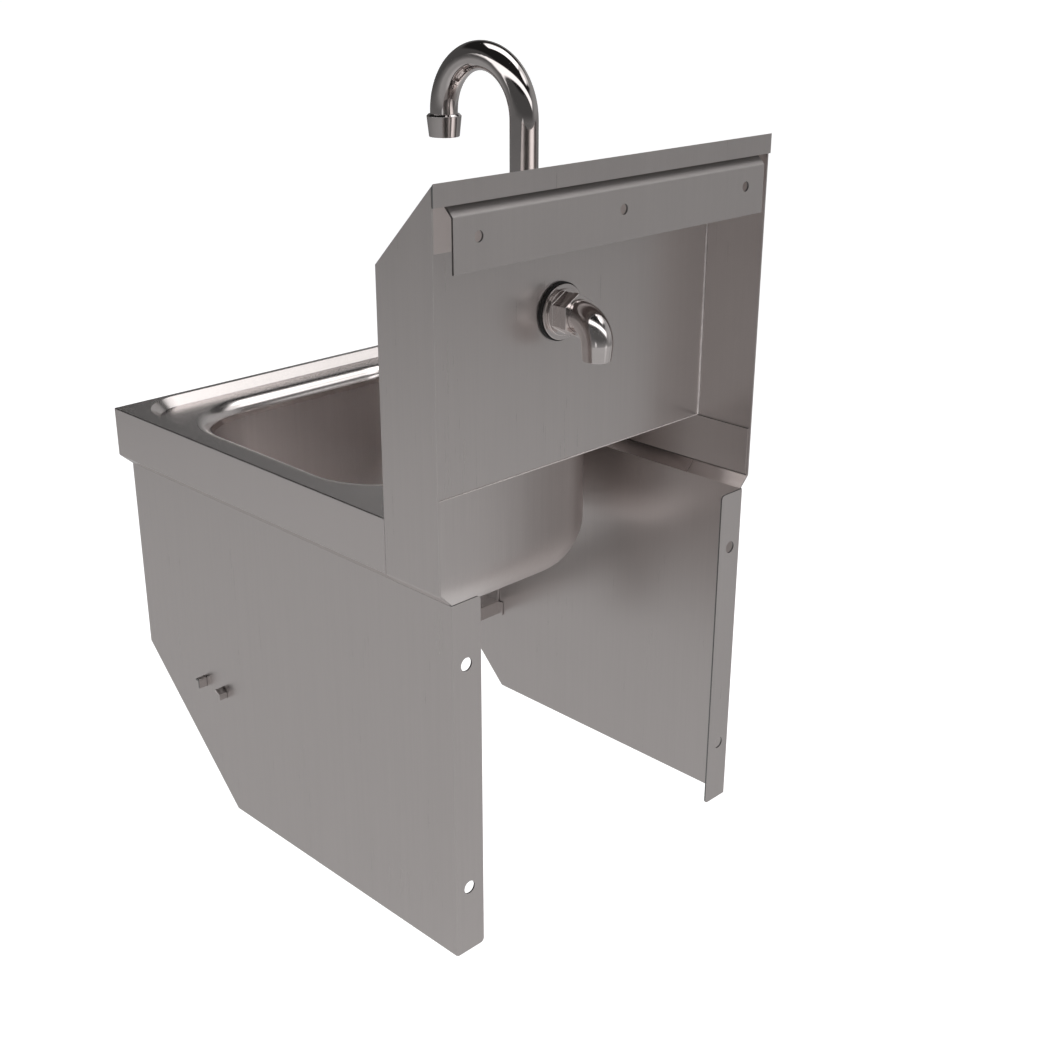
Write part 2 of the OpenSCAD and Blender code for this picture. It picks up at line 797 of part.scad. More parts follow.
// Gooseneck centre line solid; one value sets its diameter
module gooseneck(d, ends) {
    foot_z = seat_z - collar_t * 2;
    translate([0, spout_y, foot_z - ends]) cylinder(d = d, h = arch_z - foot_z + ends);
    translate([0, spout_y - spout_reach * half, arch_z])
        rotate([right_angle, 0, right_angle])
            rotate_extrude(angle = half_turn)
                translate([spout_reach * half, 0]) circle(d = d);
    translate([0, spout_y - spout_reach, arch_z - outlet_leg - ends])
        cylinder(d = d, h = outlet_leg + ends);
}

module spout_pipe() {
    color(polished) at_hub() difference() {
        gooseneck(spout_d, 0);
        gooseneck(spout_d - spout_wall * 2, over);
    }
}

seal_r = (spigot_d - seal_d) * half;
seal_pitch = 4;
seal_low_z = spigot_low_z + seal_pitch;

module spout_spigot() {
    socket_z = seat_z - collar_t * 2;
    color(brass) at_hub() translate([0, spout_y, 0]) difference() {
        union() {
            translate([0, 0, spigot_low_z]) cylinder(d = spigot_d, h = spigot_l);
            translate([0, 0, seat_z + swivel_play]) cylinder(d = collar_d, h = collar_t);
        }
        translate([0, 0, spigot_low_z - over])
            cylinder(d = water_d, h = spigot_l + collar_t + over * 2);
        translate([0, 0, socket_z])
            cylinder(d = spout_d + seam * 2, h = collar_top_z - socket_z + over);
        for (i = [0, 1])
            translate([0, 0, seal_low_z + i * seal_pitch])
                rotate_extrude()
                    translate([seal_r - seal_d * half - seam, -seal_d * half - seam])
                        square(seal_d + seam * 2);
    }
}

module spigot_seals() {
    color(rubber) at_hub() translate([0, spout_y, 0])
        for (i = [0, 1])
            translate([0, 0, seal_low_z + i * seal_pitch])
                rotate_extrude() translate([seal_r, 0]) circle(d = seal_d, $fn = 32);
}

outlet_y = spout_y - spout_reach;
pipe_end_z = arch_z - outlet_leg;
outlet_top_z = arch_z - outlet_rim_h;
outlet_low_z = outlet_top_z - outlet_h;

module outlet_shell() {
    color(polished) at_hub() translate([0, outlet_y, 0]) difference() {
        union() {
            translate([0, 0, outlet_low_z])
                cylinder(d1 = outlet_low_d, d2 = outlet_top_d, h = outlet_h - outlet_rim_h);
            translate([0, 0, outlet_top_z - outlet_rim_h])
                cylinder(d1 = outlet_top_d, d2 = outlet_top_d - outlet_rim_h * 2, h = outlet_rim_h);
        }
        translate([0, 0, pipe_end_z - outlet_washer_t])
            cylinder(d = spout_d + seam * 2, h = outlet_h);
        translate([0, 0, outlet_low_z - over])
            cylinder(d = insert_d + seam * 2, h = outlet_h);
    }
}

module outlet_washer() {
    color(rubber) at_hub() translate([0, outlet_y, pipe_end_z - outlet_washer_t]) difference() {
        cylinder(d = spout_d, h = outlet_washer_t);
        translate([0, 0, -over]) cylinder(d = water_d, h = outlet_washer_t + over * 2);
    }
}

module aerator_insert() {
    low_z = pipe_end_z - outlet_washer_t - insert_h;
    ring_r = insert_d / 5;
    color(plastic) at_hub() translate([0, outlet_y, low_z]) difference() {
        cylinder(d = insert_d, h = insert_h);
        translate([0, 0, -over]) cylinder(d = insert_hole_d, h = insert_h + over * 2);
        for (ring = [1, 2], i = [0 : ring * 6 - 1])
            rotate([0, 0, i * half_turn / (ring * 3)])
                translate([ring * ring_r, 0, -over])
                    cylinder(d = insert_hole_d, h = insert_h + over * 2, $fn = 24);
    }
}

// Heights of the drain pieces
cup_low_z = bowl_under_z - drain_cup_h;
drain_in_d = drain_cup_d - drain_wall * 2;
tail_in_d = tail_d - tail_wall * 2;
drain_end_z = cup_low_z - drain_spigot_h;
drain_bore_d = drain_cup_d + bore_play * 2;
basket_d = drain_in_d - basket_play * 2;
basket_low_z = bowl_floor_z - basket_h;

module drain_strainer_cup() {
    color(polished) at_hub() translate([0, drain_y, 0]) difference() {
        union() {
            translate([0, 0, bowl_floor_z])
                cylinder(d1 = drain_flange_d, d2 = drain_flange_d - drain_flange_t * 2, h = drain_flange_t);
            translate([0, 0, cup_low_z]) cylinder(d = drain_cup_d, h = drain_cup_h + sheet_t);
            translate([0, 0, drain_end_z]) cylinder(d = tail_d, h = drain_spigot_h);
        }
        translate([0, 0, cup_low_z + drain_wall])
            cylinder(d = drain_in_d, h = drain_cup_h + drain_flange_t * 2);
        translate([0, 0, drain_end_z - over])
            cylinder(d = tail_in_d - drain_wall, h = drain_spigot_h + drain_wall + over * 2);
    }
}

// Flat ring round the drain, from one height down
module drain_ring(top_z, t, d_out, d_in) {
    translate([0, drain_y, top_z - t]) difference() {
        cylinder(d = d_out, h = t);
        translate([0, 0, -over]) cylinder(d = d_in, h = t + over * 2);
    }
}

module drain_rubber_washer() {
    color(rubber) at_hub() drain_ring(bowl_under_z, drain_rubber_t, drain_flange_d, drain_bore_d);
}

module drain_card_washer() {
    color(card) at_hub()
        drain_ring(bowl_under_z - drain_rubber_t, drain_card_t, drain_flange_d - step_in, drain_bore_d);
}

module drain_locknut() {
    top_z = bowl_under_z - drain_rubber_t - drain_card_t;
    color(brass) at_hub() translate([0, drain_y, top_z - drain_nut_t]) difference() {
        cylinder(d = drain_nut_flats / cos(half_turn / 8), h = drain_nut_t, $fn = 8);
        translate([0, 0, -over]) cylinder(d = drain_bore_d, h = drain_nut_t + over * 2);
    }
}

slip_top_z = drain_end_z + slip_nut_h * half;
tail_top_z = drain_end_z - slip_washer_t;
tail_free_z = slip_top_z - slip_nut_h - step_in;
tail_neck_d = tail_d - step_in;
tail_flare_d = tail_d + tail_wall * 2;

module slip_washer() {
    color(rubber) at_hub() drain_ring(drain_end_z, slip_washer_t, tail_d, tail_in_d);
}

module slip_nut() {
    color(polished) at_hub() translate([0, drain_y, slip_top_z - slip_nut_h]) difference() {
        cylinder(d = slip_nut_d, h = slip_nut_h);
        translate([0, 0, tail_top_z - tail_wall - slip_top_z + slip_nut_h - seam])
            cylinder(d = tail_flare_d + bore_play * 2, h = slip_nut_h);
        translate([0, 0, -over]) cylinder(d = tail_d + bore_play * 2, h = slip_nut_h);
    }
}

module tailpiece() {
    color(polished) at_hub() translate([0, drain_y, 0]) difference() {
        union() {
            translate([0, 0, tail_top_z - tail_l])
                cylinder(d = tail_d, h = tail_free_z - tail_top_z + tail_l);
            translate([0, 0, tail_free_z - step_in])
                cylinder(d = tail_neck_d, h = tail_top_z - tail_free_z + step_in);
            translate([0, 0, tail_top_z - tail_wall]) cylinder(d = tail_flare_d, h = tail_wall);
        }
        translate([0, 0, tail_top_z - tail_l - over])
            cylinder(d = tail_in_d, h = tail_l + over * 2);
    }
}

module strainer_basket() {
    holes_r = basket_d / 3;
    rim_d = basket_d + basket_wall * 4;
    color(polished) at_hub() translate([0, drain_y, 0]) difference() {
        union() {
            difference() {
                union() {
                    translate([0, 0, basket_low_z]) cylinder(d = basket_d, h = basket_h + drain_flange_t + basket_play);
                    translate([0, 0, bowl_floor_z + drain_flange_t + basket_play])
                        cylinder(d = rim_d, h = basket_wall);
                }
                translate([0, 0, basket_low_z + basket_wall])
                    cylinder(d = basket_d - basket_wall * 2, h = basket_h * 2);
            }
            translate([0, 0, basket_low_z]) cylinder(d = stem_d, h = basket_h + knob_z);
            translate([0, 0, bowl_floor_z + knob_z - stem_d]) cylinder(d = knob_d, h = stem_d);
        }
        for (ring = [1, 2], i = [0 : ring * 8 - 1])
            rotate([0, 0, i * half_turn / (ring * 4)])
                translate([ring * holes_r * half + stem_d * half, 0, basket_low_z - over])
                    cylinder(d = basket_hole_d, h = basket_wall + over * 2, $fn = 24);
    }
}

sink_top();
backsplash();
bowl_edge();
bowl_wall();
bowl_bottom();
end_cap_right();
end_cap_left();
backing_strip_right();
backing_strip_left();
side_panel_right();
side_panel_left();
cross_brace();
wall_hanger();
faucet_gasket();
escutcheon();
faucet_body();
bonnet_nut();
rear_rubber_washer();
rear_steel_washer();
shank_locknut();
coupling_nut();
elbow_seal();
supply_elbow();
spout_pipe();
spout_spigot();
spigot_seals();
outlet_shell();
outlet_washer();
aerator_insert();
drain_strainer_cup();
drain_rubber_washer();
drain_card_washer();
drain_locknut();
tailpiece();
slip_nut();
slip_washer();
strainer_basket();
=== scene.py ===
import json
import math

import bmesh
import bpy
from mathutils import Matrix, Vector


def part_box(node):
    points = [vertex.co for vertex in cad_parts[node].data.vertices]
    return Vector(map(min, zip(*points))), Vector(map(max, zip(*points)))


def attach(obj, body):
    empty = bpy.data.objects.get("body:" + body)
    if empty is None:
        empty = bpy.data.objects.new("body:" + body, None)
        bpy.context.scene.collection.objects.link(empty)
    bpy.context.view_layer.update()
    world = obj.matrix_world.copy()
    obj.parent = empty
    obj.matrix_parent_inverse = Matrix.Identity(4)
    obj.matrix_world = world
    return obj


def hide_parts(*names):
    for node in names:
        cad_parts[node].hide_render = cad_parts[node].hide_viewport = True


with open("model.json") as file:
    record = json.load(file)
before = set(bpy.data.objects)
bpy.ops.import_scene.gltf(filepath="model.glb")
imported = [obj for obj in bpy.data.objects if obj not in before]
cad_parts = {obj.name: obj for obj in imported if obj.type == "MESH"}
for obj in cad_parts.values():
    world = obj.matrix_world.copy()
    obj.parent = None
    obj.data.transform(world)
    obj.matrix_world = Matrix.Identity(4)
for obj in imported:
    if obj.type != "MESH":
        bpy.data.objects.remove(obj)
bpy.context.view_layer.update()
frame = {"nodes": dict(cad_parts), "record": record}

# Sizes that the pieces share
MM = 0.001
SHEET = 1.2 * MM
HANGER_SHEET = 1.5 * MM
BOWL_CORNER = 66 * MM
BOWL_SATIN_HEIGHT = 156 * MM
DRAIN_HOLE = 48 * MM
BEAD = 1.0 * MM
BEAD_RIPPLE = 1.4 * MM
BEAD_CREST = 1.12
BEAD_TROUGH = 0.89
SHEET_BEND = 1.2 * MM
DRAWN_BEND = 0.9 * MM
BROKEN_EDGE = 0.16 * MM
TURNED_EDGE = 0.2 * MM
CAST_EDGE = 0.35 * MM
JOINED = 0.01 * MM

# Turns in degrees
SMOOTH_TURN = 40
FLAT_TURN = 0.6
CAST_TURN = 35
CUT_TURN = 38
RIM_TURN = 60
SQUARE_BEND = (60, 120)
SLANTED_BEND = (30, 60)

# Body and material slot of each node
BODY_OF = {}
for body_name, members in frame["record"]["behaviour"]["bodies"].items():
    for member in members:
        BODY_OF[member] = body_name
SLOT_OF = {}
for part in frame["record"]["subparts"]:
    SLOT_OF[part["node"]] = part["material_slot"]


# Shader networks

class Wire:
    """One output of a node. Arithmetic on it adds Math nodes."""

    def __init__(self, net, socket):
        self.net = net
        self.socket = socket

    def math(self, operation, *values):
        return self.net.add("ShaderNodeMath", {"operation": operation}, dict(enumerate(values)))

    def __add__(self, other):
        return self.math("ADD", self, other)

    def __mul__(self, other):
        return self.math("MULTIPLY", self, other)

    def __truediv__(self, other):
        return self.math("DIVIDE", self, other)

    def size(self):
        return self.math("ABSOLUTE", self)

    def most(self, other):
        return self.math("MAXIMUM", self, other)

    def ease(self, low, high, start=0.0, end=1.0):
        """Goes softly from start at low to end at high."""
        return self.net.add("ShaderNodeMapRange", {"interpolation_type": "SMOOTHSTEP"},
                            {0: self, 1: low, 2: high, 3: start, 4: end})


class Net:
    """The nodes of one material, or of the world."""

    def __init__(self, tree):
        self.tree = tree
        tree.nodes.clear()

    def add(self, kind, settings=None, inputs=None, output=0):
        """Adds a node: its settings first, then the values or links of its sockets."""
        node = self.tree.nodes.new(kind)
        for key, value in (settings or {}).items():
            setattr(node, key, value)
        for key, value in (inputs or {}).items():
            if isinstance(value, Wire):
                self.tree.links.new(value.socket, node.inputs[key])
            else:
                node.inputs[key].default_value = value
        if node.outputs:
            return Wire(self, node.outputs[output])

    def place(self, stretch=(1, 1, 1), output="Object"):
        """Object coordinates, stretched along the axes."""
        here = self.add("ShaderNodeTexCoord", output=output)
        if stretch == (1, 1, 1):
            return here
        return self.add("ShaderNodeMapping", inputs={"Vector": here, "Scale": stretch})

    def upward(self, vector):
        """Height share of a vector."""
        return self.toward(vector, (0, 0, 1))

    def noise(self, vector, scale, detail=2.0, roughness=0.5):
        return self.add("ShaderNodeTexNoise", inputs={"Vector": vector, "Scale": scale,
                                                      "Detail": detail, "Roughness": roughness})

    def blend(self, factor, first, second):
        """Mixes two colours by a factor."""
        return self.add("ShaderNodeMix", {"data_type": "RGBA"}, {0: factor, 6: first, 7: second}, 2)

    def weigh(self, factor, first, second):
        """Mixes two numbers by a factor."""
        return self.add("ShaderNodeMix", {"data_type": "FLOAT"}, {0: factor, 2: first, 3: second})

    def toward(self, vector, direction):
        """Cosine between a vector and a fixed direction."""
        return self.add("ShaderNodeVectorMath", {"operation": "DOT_PRODUCT"},
                        {0: vector, 1: tuple(direction)}, 1)


def rgb(value, tint=(1, 1, 1)):
    """Colour of a grey value, tinted."""
    return (value * tint[0], value * tint[1], value * tint[2], 1)


def finish_of(name):
    """A new material and its empty net."""
    material = bpy.data.materials.new(name)
    material.use_nodes = True
    return material, Net(material.node_tree)


def surface(net, colour, roughness, metallic=0.0, height=None, relief=0.0, **fixed):
    """Ends a net in a Principled surface. Height, in shares of the relief, bumps it."""
    inputs = {"Base Color": colour, "Roughness": roughness, "Metallic": metallic}
    if height is not None:
        inputs["Normal"] = net.add("ShaderNodeBump", inputs={"Height": height, "Distance": relief})
    for key, value in fixed.items():
        inputs[key.replace("_", " ").title()] = value
    shader = net.add("ShaderNodeBsdfPrincipled", inputs=inputs)
    net.add("ShaderNodeOutputMaterial", inputs={"Surface": shader})


def brush_marks(net, level, length, *grain):
    """Noise drawn out along the height, or from side to side where the face is level."""
    upright = net.noise(net.place((1, 1, length)), *grain)
    sideways = net.noise(net.place((length, 1, 1)), *grain)
    return net.weigh(level, upright, sideways)


def brushed_steel(name, bright, dark, smooth, rough, relief, satin_below=None, satin=0.0, metallic=1.0):
    """Satin sheet, brushed upright on standing faces and from side to side on level ones."""
    material, net = finish_of(name)
    level = net.upward(net.place(output="Normal")).size().ease(0.62, 0.85)
    fine = brush_marks(net, level, 0.012, 1500, 3, 0.65)
    broad = brush_marks(net, level, 0.02, 210, 2, 0.6)
    cloud = net.noise(net.place(), 14, 3, 0.55)
    grain = fine * 0.6 + broad * 0.4
    tone = (grain * 0.75 + cloud * 0.25).ease(0.3, 0.7)
    colour = net.blend(tone, dark, bright)
    roughness = (grain * 0.7 + cloud * 0.3).ease(0.3, 0.7, smooth, rough)
    if satin_below is not None:
        height = net.upward(net.place())
        roughness = roughness + height.ease(satin_below, satin_below - 8 * MM, 0.0, satin)
    surface(net, colour, roughness, metallic, grain, relief)
    return material


def bright_chrome(name, bright, dark, smooth, rough):
    """Polished plating with faint smears and the slight waviness of a buffed casting."""
    material, net = finish_of(name)
    smear = net.noise(net.place(), 46, 4, 0.6)
    waves = net.noise(net.place(), 120, 1, 0.4)
    colour = net.blend(smear.ease(0.3, 0.7), dark, bright)
    surface(net, colour, smear.ease(0.35, 0.75, smooth, rough), 1.0, waves, 0.01 * MM)
    return material


def dressed_weld(name):
    """Pale matt metal of a ground weld, streaked by the wheel; its paleness is partly a painted highlight
    that shows the beads as bright seam lines.
    """
    material, net = finish_of(name)
    wheel = net.noise(net.place((1, 1, 0.2)), 700, 3, 0.6)
    colour = net.blend(wheel.ease(0.3, 0.7), steel(0.72), steel(0.92))
    surface(net, colour, wheel.ease(0.3, 0.7, 0.42, 0.55), 0.35, wheel, 0.02 * MM)
    return material


def plain_rubber(name):
    """Black rubber with a trace of dust."""
    material, net = finish_of(name)
    dust = net.noise(net.place(), 260, 4, 0.6)
    colour = net.blend(dust.ease(0.35, 0.75), rgb(0.012), rgb(0.03))
    surface(net, colour, dust.ease(0.3, 0.7, 0.5, 0.68), 0.0, dust, 0.06 * MM)
    return material


def turned_brass(name):
    """Brass with the rings of the lathe and a few stains."""
    material, net = finish_of(name)
    rings = net.noise(net.place((1, 1, 40)), 60, 3, 0.6)
    stain = net.noise(net.place(), 40, 3, 0.6)
    colour = net.blend(stain.ease(0.3, 0.7), (0.5, 0.33, 0.12, 1), (0.72, 0.53, 0.24, 1))
    surface(net, colour, rings.ease(0.3, 0.7, 0.2, 0.38), 1.0, rings, 0.02 * MM)
    return material


def pressed_card(name):
    """Brown card of short fibres."""
    material, net = finish_of(name)
    fibres = net.noise(net.place((1, 1, 4)), 900, 5, 0.7)
    colour = net.blend(fibres.ease(0.35, 0.65), (0.3, 0.2, 0.11, 1), (0.55, 0.42, 0.26, 1))
    surface(net, colour, 0.85, 0.0, fibres, 0.08 * MM)
    return material


def moulded_plastic(name):
    """White plastic with a slightly uneven skin."""
    material, net = finish_of(name)
    skin = net.noise(net.place(), 500, 3, 0.5)
    colour = net.blend(skin.ease(0.3, 0.7), (0.7, 0.7, 0.67, 1), (0.8, 0.8, 0.77, 1))
    surface(net, colour, skin.ease(0.3, 0.7, 0.28, 0.4), 0.0, skin, 0.02 * MM)
    return material


STEEL_TINT = (1.0, 0.935, 0.915)


def steel(value):
    """Colour of stainless steel or chrome."""
    return rgb(value, STEEL_TINT)


# Each steel has its lightest and darkest tone, its smoothest and roughest, and its relief
FINISH = {
    "stainless_sheet": brushed_steel("brushed_stainless", steel(0.69), steel(0.66), 0.27, 0.32, 0.0016 * MM),
    "drawn_stainless": brushed_steel("drawn_stainless", steel(0.69), steel(0.66), 0.2, 0.25, 0.002 * MM),
    # The bowl's steel is lighter than the sheet's: painted light that lifts the shade inside the bowl
    "bowl_stainless_painted_light": brushed_steel("bowl_stainless_painted_light", steel(0.75), steel(0.7), 0.17, 0.22, 0.005 * MM,
                                    satin_below=BOWL_SATIN_HEIGHT, satin=0.17),
    "rolled_stainless": brushed_steel("rolled_stainless", steel(0.47), steel(0.44), 0.42, 0.48, 0.004 * MM,
                                      metallic=0.6),
    # Cut edges: dull steel painted darker, a painted shade for the dark outline of the sheet edges
    "cut_edge_painted_shade": brushed_steel("cut_edge_painted_shade", rgb(0.3), rgb(0.22), 0.42, 0.55, 0.01 * MM),
    # Weld beads: pale metal, partly a painted highlight that makes the seams read as bright lines
    "weld_metal_painted_highlight": dressed_weld("weld_metal_painted_highlight"),
    "satin_casting": bright_chrome("satin_casting", steel(0.78), steel(0.72), 0.11, 0.16),
    "polished_chrome": bright_chrome("polished_chrome", steel(0.55), steel(0.51), 0.03, 0.06),
    "black_rubber": plain_rubber("black_rubber"),
    "brass": turned_brass("turned_brass"),
    "fibre_card": pressed_card("pressed_card"),
    "white_plastic": moulded_plastic("moulded_plastic"),
}


# Pieces

def even_normals(mesh):
    """Each face corner takes the direction of the widest faces that it turns softly into."""
    cosine = math.cos(math.radians(SMOOTH_TURN))
    around = [[] for vertex in mesh.vertices]
    for polygon in mesh.polygons:
        for vertex in polygon.vertices:
            around[vertex].append((polygon.normal.copy(), polygon.area))
    normals = []
    for polygon in mesh.polygons:
        for vertex in polygon.vertices:
            total = Vector((0, 0, 0))
            for normal, area in around[vertex]:
                if normal.dot(polygon.normal) > cosine:
                    total += normal * area
            normals.append(total.normalized() if total.length > 0 else polygon.normal.copy())
    mesh.normals_split_custom_set(normals)


def linked(name, data):
    """A new object in the scene."""
    thing = bpy.data.objects.new(name, data)
    bpy.context.scene.collection.objects.link(thing)
    return thing


def made_mesh(name, bm, *materials, smooth=True):
    """The finished mesh of a piece, with its materials."""
    mesh = bpy.data.meshes.new(name)
    bm.to_mesh(mesh)
    bm.free()
    for polygon in mesh.polygons:
        polygon.use_smooth = smooth
    for material in materials:
        mesh.materials.append(material)
    return mesh


def settle(name, bm, *nodes, finish=None, second=None):
    """Makes the finished object in place of the nodes, which it hides: it rides their body and takes the
    finish of their slot unless another is named.
    """
    materials = [FINISH[finish or SLOT_OF[nodes[0]]]]
    if second:
        materials.append(FINISH[second])
    mesh = made_mesh(name, bm, *materials)
    even_normals(mesh)
    piece = linked(name, mesh)
    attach(piece, BODY_OF[nodes[0]])
    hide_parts(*nodes)


def merged_copy(node):
    """A copy of a node's mesh with its corners joined and its flat triangles dissolved."""
    bm = bmesh.new()
    bm.from_mesh(frame["nodes"][node].data)
    bmesh.ops.remove_doubles(bm, verts=bm.verts, dist=JOINED)
    bmesh.ops.dissolve_limit(bm, angle_limit=math.radians(FLAT_TURN), use_dissolve_boundaries=False,
                             verts=bm.verts, edges=bm.edges)
    return bm


def face_width(face):
    """How wide a long face is."""
    return 2 * face.calc_area() / face.calc_perimeter()


def fold(edge):
    """Turn of an edge in degrees, above zero where it stands out."""
    return math.degrees(edge.calc_face_angle_signed(0))


def soften(bm, chosen, offset, segments):
    """Rounds the chosen edges."""
    edges = [edge for edge in bm.edges if len(edge.link_faces) == 2 and chosen(edge)]
    if edges:
        bmesh.ops.bevel(bm, geom=edges, offset=offset, offset_type="OFFSET", segments=segments,
                        profile=0.5, affect="EDGES", clamp_overlap=True, material=-1)


def folded_sheet(name, node, bend=SHEET_BEND, finish=None, thickness=SHEET):
    """Sheet piece with rounded bends and broken edges, darker where it was cut: a painted shade for the dark
    outline along its edges.
    """
    bm = merged_copy(node)

    def is_cut(face):
        return len(face.verts) > 3 and face_width(face) < thickness * 1.01

    def is_bend(edge, turn, limits):
        return limits[0] < turn < limits[1] and not any(is_cut(face) for face in edge.link_faces)

    # Cut faces take the painted shade, except those that face the wall, which keep the sheet's colour
    for face in bm.faces:
        face.material_index = 1 if is_cut(face) and face.normal.y < 0.7 else 0
    soften(bm, lambda edge: is_bend(edge, fold(edge), SQUARE_BEND), bend, 4)
    soften(bm, lambda edge: is_bend(edge, fold(edge), SLANTED_BEND), bend * 0.55, 3)
    soften(bm, lambda edge: is_bend(edge, -fold(edge), SQUARE_BEND), bend * 0.3, 2)
    soften(bm, lambda edge: abs(fold(edge)) > CUT_TURN, BROKEN_EDGE, 2)
    settle(name, bm, node, finish=finish, second="cut_edge_painted_shade")


def fine_casting(name, node, cut=TURNED_EDGE, segments=2, finish=None):
    """Turned or cast piece with broken edges."""
    bm = merged_copy(node)
    soften(bm, lambda edge: abs(fold(edge)) > CAST_TURN, cut, segments)
    settle(name, bm, node, finish=finish)


def arc(centre, radius, start, end, steps):
    """Points on an arc, in the plane of distance outward and height, with angles in degrees."""
    points = []
    for step in range(steps + 1):
        angle = math.radians(start + (end - start) * step / steps)
        points.append((centre[0] + radius * math.cos(angle), centre[1] + radius * math.sin(angle)))
    return points


def drawn_bowl():
    """The bowl in one piece, from its rolled edge over the rounded foot to the drain hole."""
    edge_low, edge_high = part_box("bowl_edge")
    wall_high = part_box("bowl_wall")[1]
    foot_low, foot_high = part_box("bowl_bottom")
    corner_x = edge_high.x - BOWL_CORNER
    rear_y = edge_high.y - BOWL_CORNER
    front_y = edge_low.y + BOWL_CORNER
    wall_radius = wall_high.x - SHEET - corner_x
    floor_z = foot_low.z + SHEET
    roll = edge_high.z - edge_low.z
    foot = foot_high.z - floor_z
    profile = arc((BOWL_CORNER, edge_low.z), roll, 90, 180, 10)
    profile += arc((wall_radius - foot, foot_high.z), foot, 0, -90, 14)
    profile.append((0, floor_z))
    bm = bmesh.new()
    verts = [bm.verts.new((corner_x + outward, rear_y, z)) for outward, z in profile]
    row = [bm.edges.new(pair) for pair in zip(verts, verts[1:])]

    def pull(edges, move):
        """Draws the row of edges out straight and gives its new place."""
        made = bmesh.ops.extrude_edge_only(bm, edges=edges)["geom"]
        fresh = [item for item in made if isinstance(item, bmesh.types.BMVert)]
        bmesh.ops.translate(bm, verts=fresh, vec=move)
        return [item for item in made if isinstance(item, bmesh.types.BMEdge)]

    def turn(edges, x, y):
        """Sweeps the row of edges round a corner and gives its new place."""
        made = bmesh.ops.spin(bm, geom=edges, cent=(x, y, 0), axis=(0, 0, 1), dvec=(0, 0, 0),
                              angle=math.radians(90), steps=20, use_merge=False, use_duplicate=False)
        return [item for item in made["geom_last"] if isinstance(item, bmesh.types.BMEdge)]

    row = turn(row, corner_x, rear_y)
    row = pull(row, (-2 * corner_x, 0, 0))
    row = turn(row, -corner_x, rear_y)
    row = pull(row, (0, front_y - rear_y, 0))
    row = turn(row, -corner_x, front_y)
    row = pull(row, (2 * corner_x, 0, 0))
    row = turn(row, corner_x, front_y)
    pull(row, (0, rear_y - front_y, 0))
    bmesh.ops.remove_doubles(bm, verts=bm.verts, dist=JOINED)
    # Flat floor between the swept wall and the drain hole
    inner = [edge for edge in bm.edges if edge.is_boundary and edge.verts[0].co.z < floor_z + MM]
    drain = bmesh.ops.create_circle(bm, segments=64, radius=DRAIN_HOLE / 2,
                                    matrix=Matrix.Translation((0, (front_y + rear_y) / 2, floor_z)))
    ring = {edge for vertex in drain["verts"] for edge in vertex.link_edges}
    bmesh.ops.triangle_fill(bm, use_beauty=True, use_dissolve=False, edges=inner + list(ring))
    bmesh.ops.recalc_face_normals(bm, faces=bm.faces)
    if sum(face.normal.z * face.calc_area() for face in bm.faces) < 0:
        bmesh.ops.reverse_faces(bm, faces=bm.faces)
    bmesh.ops.solidify(bm, geom=bm.faces[:], thickness=SHEET)
    soften(bm, lambda edge: abs(fold(edge)) > RIM_TURN, BROKEN_EDGE, 2)
    settle("drawn_bowl", bm, "bowl_edge", "bowl_wall", "bowl_bottom", finish="bowl_stainless_painted_light")


def weld_bead(name, start, end, radius):
    """Thin dressed bead along a seam between two sheets, with the ripples of the weld."""
    along = end - start
    rings = max(8, int(along.length / BEAD_RIPPLE))
    bm = bmesh.new()
    seam_turn = along.to_track_quat("Z", "Y").to_matrix().to_4x4()
    circle = bmesh.ops.create_circle(bm, segments=10, radius=radius,
                                     matrix=Matrix.Translation(start) @ seam_turn)
    ring = list({edge for vertex in circle["verts"] for edge in vertex.link_edges})
    for step in range(rings):
        made = bmesh.ops.extrude_edge_only(bm, edges=ring)["geom"]
        fresh = [item for item in made if isinstance(item, bmesh.types.BMVert)]
        ring = [item for item in made if isinstance(item, bmesh.types.BMEdge)]
        bmesh.ops.translate(bm, verts=fresh, vec=along / rings)
        middle = start + along * (step + 1) / rings
        swell = BEAD_CREST if step % 2 else BEAD_TROUGH
        bmesh.ops.scale(bm, verts=fresh, vec=(swell, swell, swell), space=Matrix.Translation(-middle))
    bmesh.ops.holes_fill(bm, edges=[edge for edge in bm.edges if edge.is_boundary], sides=0)
    bmesh.ops.recalc_face_normals(bm, faces=bm.faces)
    bead = linked(name, made_mesh(name, bm, FINISH["weld_metal_painted_highlight"]))
    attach(bead, BODY_OF["backsplash"])


def seam_beads():
    """Beads behind the backsplash, up both end caps and along its foot."""
    splash_low, splash_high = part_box("backsplash")
    rear = splash_low.y + SHEET + BEAD * 0.35
    side = splash_high.x - SHEET - BEAD * 0.6
    foot = splash_low.z + BEAD * 0.5
    top = splash_high.z - (splash_high.y - splash_low.y) - 2 * MM
    weld_bead("right_seam_bead", Vector((side, rear, foot)), Vector((side, rear, top)), BEAD)
    weld_bead("left_seam_bead", Vector((-side, rear, foot)), Vector((-side, rear, top)), BEAD)
    weld_bead("foot_seam_bead", Vector((-side, rear, foot)), Vector((side, rear, foot)), BEAD * 0.5)


drawn_bowl()
seam_beads()
folded_sheet("sink_top_sheet", "sink_top", bend=DRAWN_BEND, finish="drawn_stainless")
for sheet_node in ("backsplash", "end_cap_right", "end_cap_left", "backing_strip_right",
                   "backing_strip_left", "side_panel_right", "side_panel_left", "cross_brace"):
    folded_sheet(sheet_node + "_sheet", sheet_node)
folded_sheet("wall_hanger_sheet", "wall_hanger", finish="rolled_stainless", thickness=HANGER_SHEET)

for cast_node in ("rear_steel_washer", "shank_locknut", "coupling_nut", "supply_elbow"):
    fine_casting(cast_node + "_piece", cast_node, CAST_EDGE, 3, "satin_casting")

